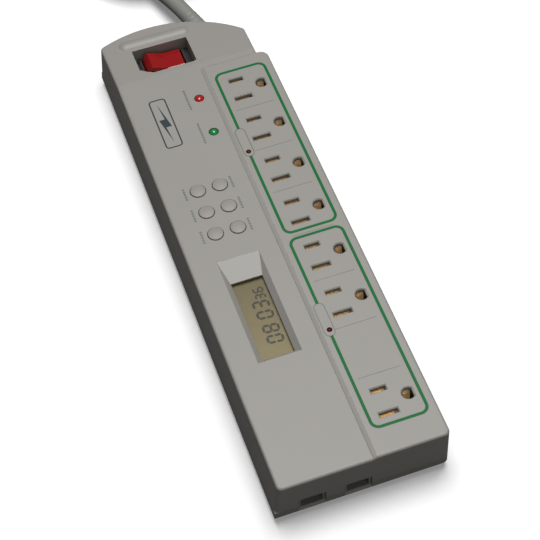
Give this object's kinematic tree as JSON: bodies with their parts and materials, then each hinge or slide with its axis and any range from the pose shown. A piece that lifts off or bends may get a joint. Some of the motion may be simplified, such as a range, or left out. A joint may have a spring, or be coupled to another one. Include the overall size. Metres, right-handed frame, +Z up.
{
  "type": "surge suppressor power strip",
  "caption": "Long grey surge suppressor strip with a bank of grounded outlets, a display, timer keys, status lamps, a red rocker switch, phone-line jacks and a mains cord.",
  "frame": {"origin": "middle of the case's outline, on the floor plane under the feet", "axes": "+X right, +Y towards the cord end along the case, +Z up out of the outlets"},
  "size_m": [0.134, 0.4393, 0.0289],
  "materials": {
    "case_grey": "fine moulded texture",
    "tray_grey": "fine moulded texture",
    "key_grey": "satin",
    "steel": "zinc plated",
    "nickel": "nickel plated",
    "rubber": "matt",
    "black_plastic": "satin",
    "brass": "stamped",
    "rocker_red": "translucent gloss",
    "clear_window": "clear",
    "lcd_glass": "reflective display",
    "circuit_board": "solder resist",
    "varistor_blue": "epoxy",
    "relay_blue": "moulded",
    "fuse_white": "glazed",
    "capacitor_yellow": "moulded",
    "ferrite": "sintered",
    "cord_grey": "flexible vinyl",
    "wire_black": "insulation",
    "wire_white": "insulation",
    "wire_green": "insulation",
    "lamp_red": "translucent, lit",
    "lamp_green": "translucent, lit",
    "lamp_dark_red": "translucent, unlit"
  },
  "bodies": {
    "case": {"top_housing": "case_grey", "base_tray": "tray_grey", "housing_screws": "steel", "rubber_feet": "rubber", "timer_board_screws": "steel", "contact_carrier": "black_plastic", "hot_strip_rear": "brass", "hot_strip_front": "brass", "neutral_strip": "brass", "ground_strip": "brass", "switch_frame": "black_plastic", "switch_terminals": "brass", "lcd_window": "clear_window", "lcd_panel": "lcd_glass", "lcd_connectors": "rubber", "timer_board": "circuit_board", "key_switches": "black_plastic", "indicator_board": "circuit_board", "lamp_boards": "circuit_board", "power_board": "circuit_board", "surge_board": "circuit_board", "varistors": "varistor_blue", "thermal_fuses": "fuse_white", "line_capacitor": "capacitor_yellow", "line_choke": "ferrite", "relay_rear": "relay_blue", "relay_front": "relay_blue", "timer_transformer": "ferrite", "backup_battery": "steel", "phone_jack_in": "tray_grey", "phone_jack_out": "tray_grey", "jack_contacts": "brass", "jack_board": "circuit_board", "strain_relief": "cord_grey", "cord": "cord_grey", "cord_coil": "cord_grey", "cord_tail": "cord_grey", "cord_tie": "black_plastic", "plug_body": "cord_grey", "plug_blades": "nickel", "plug_ground_pin": "nickel", "wire_line": "wire_black", "wire_neutral": "wire_white", "wire_ground": "wire_green", "wire_hot_rear": "wire_black", "wire_hot_front": "wire_black", "status_lamp_red": "lamp_red", "status_lamp_green": "lamp_green", "timer_lamp_rear": "lamp_dark_red", "timer_lamp_front": "lamp_dark_red"},
    "rocker": {"rocker": "rocker_red"},
    "key_rear_left": {"key_rear_left": "key_grey"},
    "key_rear_right": {"key_rear_right": "key_grey"},
    "key_middle_left": {"key_middle_left": "key_grey"},
    "key_middle_right": {"key_middle_right": "key_grey"},
    "key_front_left": {"key_front_left": "key_grey"},
    "key_front_right": {"key_front_right": "key_grey"}
  },
  "joints": [
    {"name": "rocker_turn", "type": "hinge", "parent": "case", "child": "rocker", "pos_m": [-0.0094, 0.1206, 0.0166], "axis": [0, 1, 0], "range_deg": [-22, 0]},
    {"name": "key_rear_left_press", "type": "slide", "parent": "case", "child": "key_rear_left", "axis": [0, 0, -1], "range_m": [0, 0.0008], "stiffness_N_per_m": 600, "springref_m": -0.0006},
    {"name": "key_rear_right_press", "type": "slide", "parent": "case", "child": "key_rear_right", "axis": [0, 0, -1], "range_m": [0, 0.0008], "stiffness_N_per_m": 600, "springref_m": -0.0006},
    {"name": "key_middle_left_press", "type": "slide", "parent": "case", "child": "key_middle_left", "axis": [0, 0, -1], "range_m": [0, 0.0008], "stiffness_N_per_m": 600, "springref_m": -0.0006},
    {"name": "key_middle_right_press", "type": "slide", "parent": "case", "child": "key_middle_right", "axis": [0, 0, -1], "range_m": [0, 0.0008], "stiffness_N_per_m": 600, "springref_m": -0.0006},
    {"name": "key_front_left_press", "type": "slide", "parent": "case", "child": "key_front_left", "axis": [0, 0, -1], "range_m": [0, 0.0008], "stiffness_N_per_m": 600, "springref_m": -0.0006},
    {"name": "key_front_right_press", "type": "slide", "parent": "case", "child": "key_front_right", "axis": [0, 0, -1], "range_m": [0, 0.0008], "stiffness_N_per_m": 600, "springref_m": -0.0006}
  ]
}
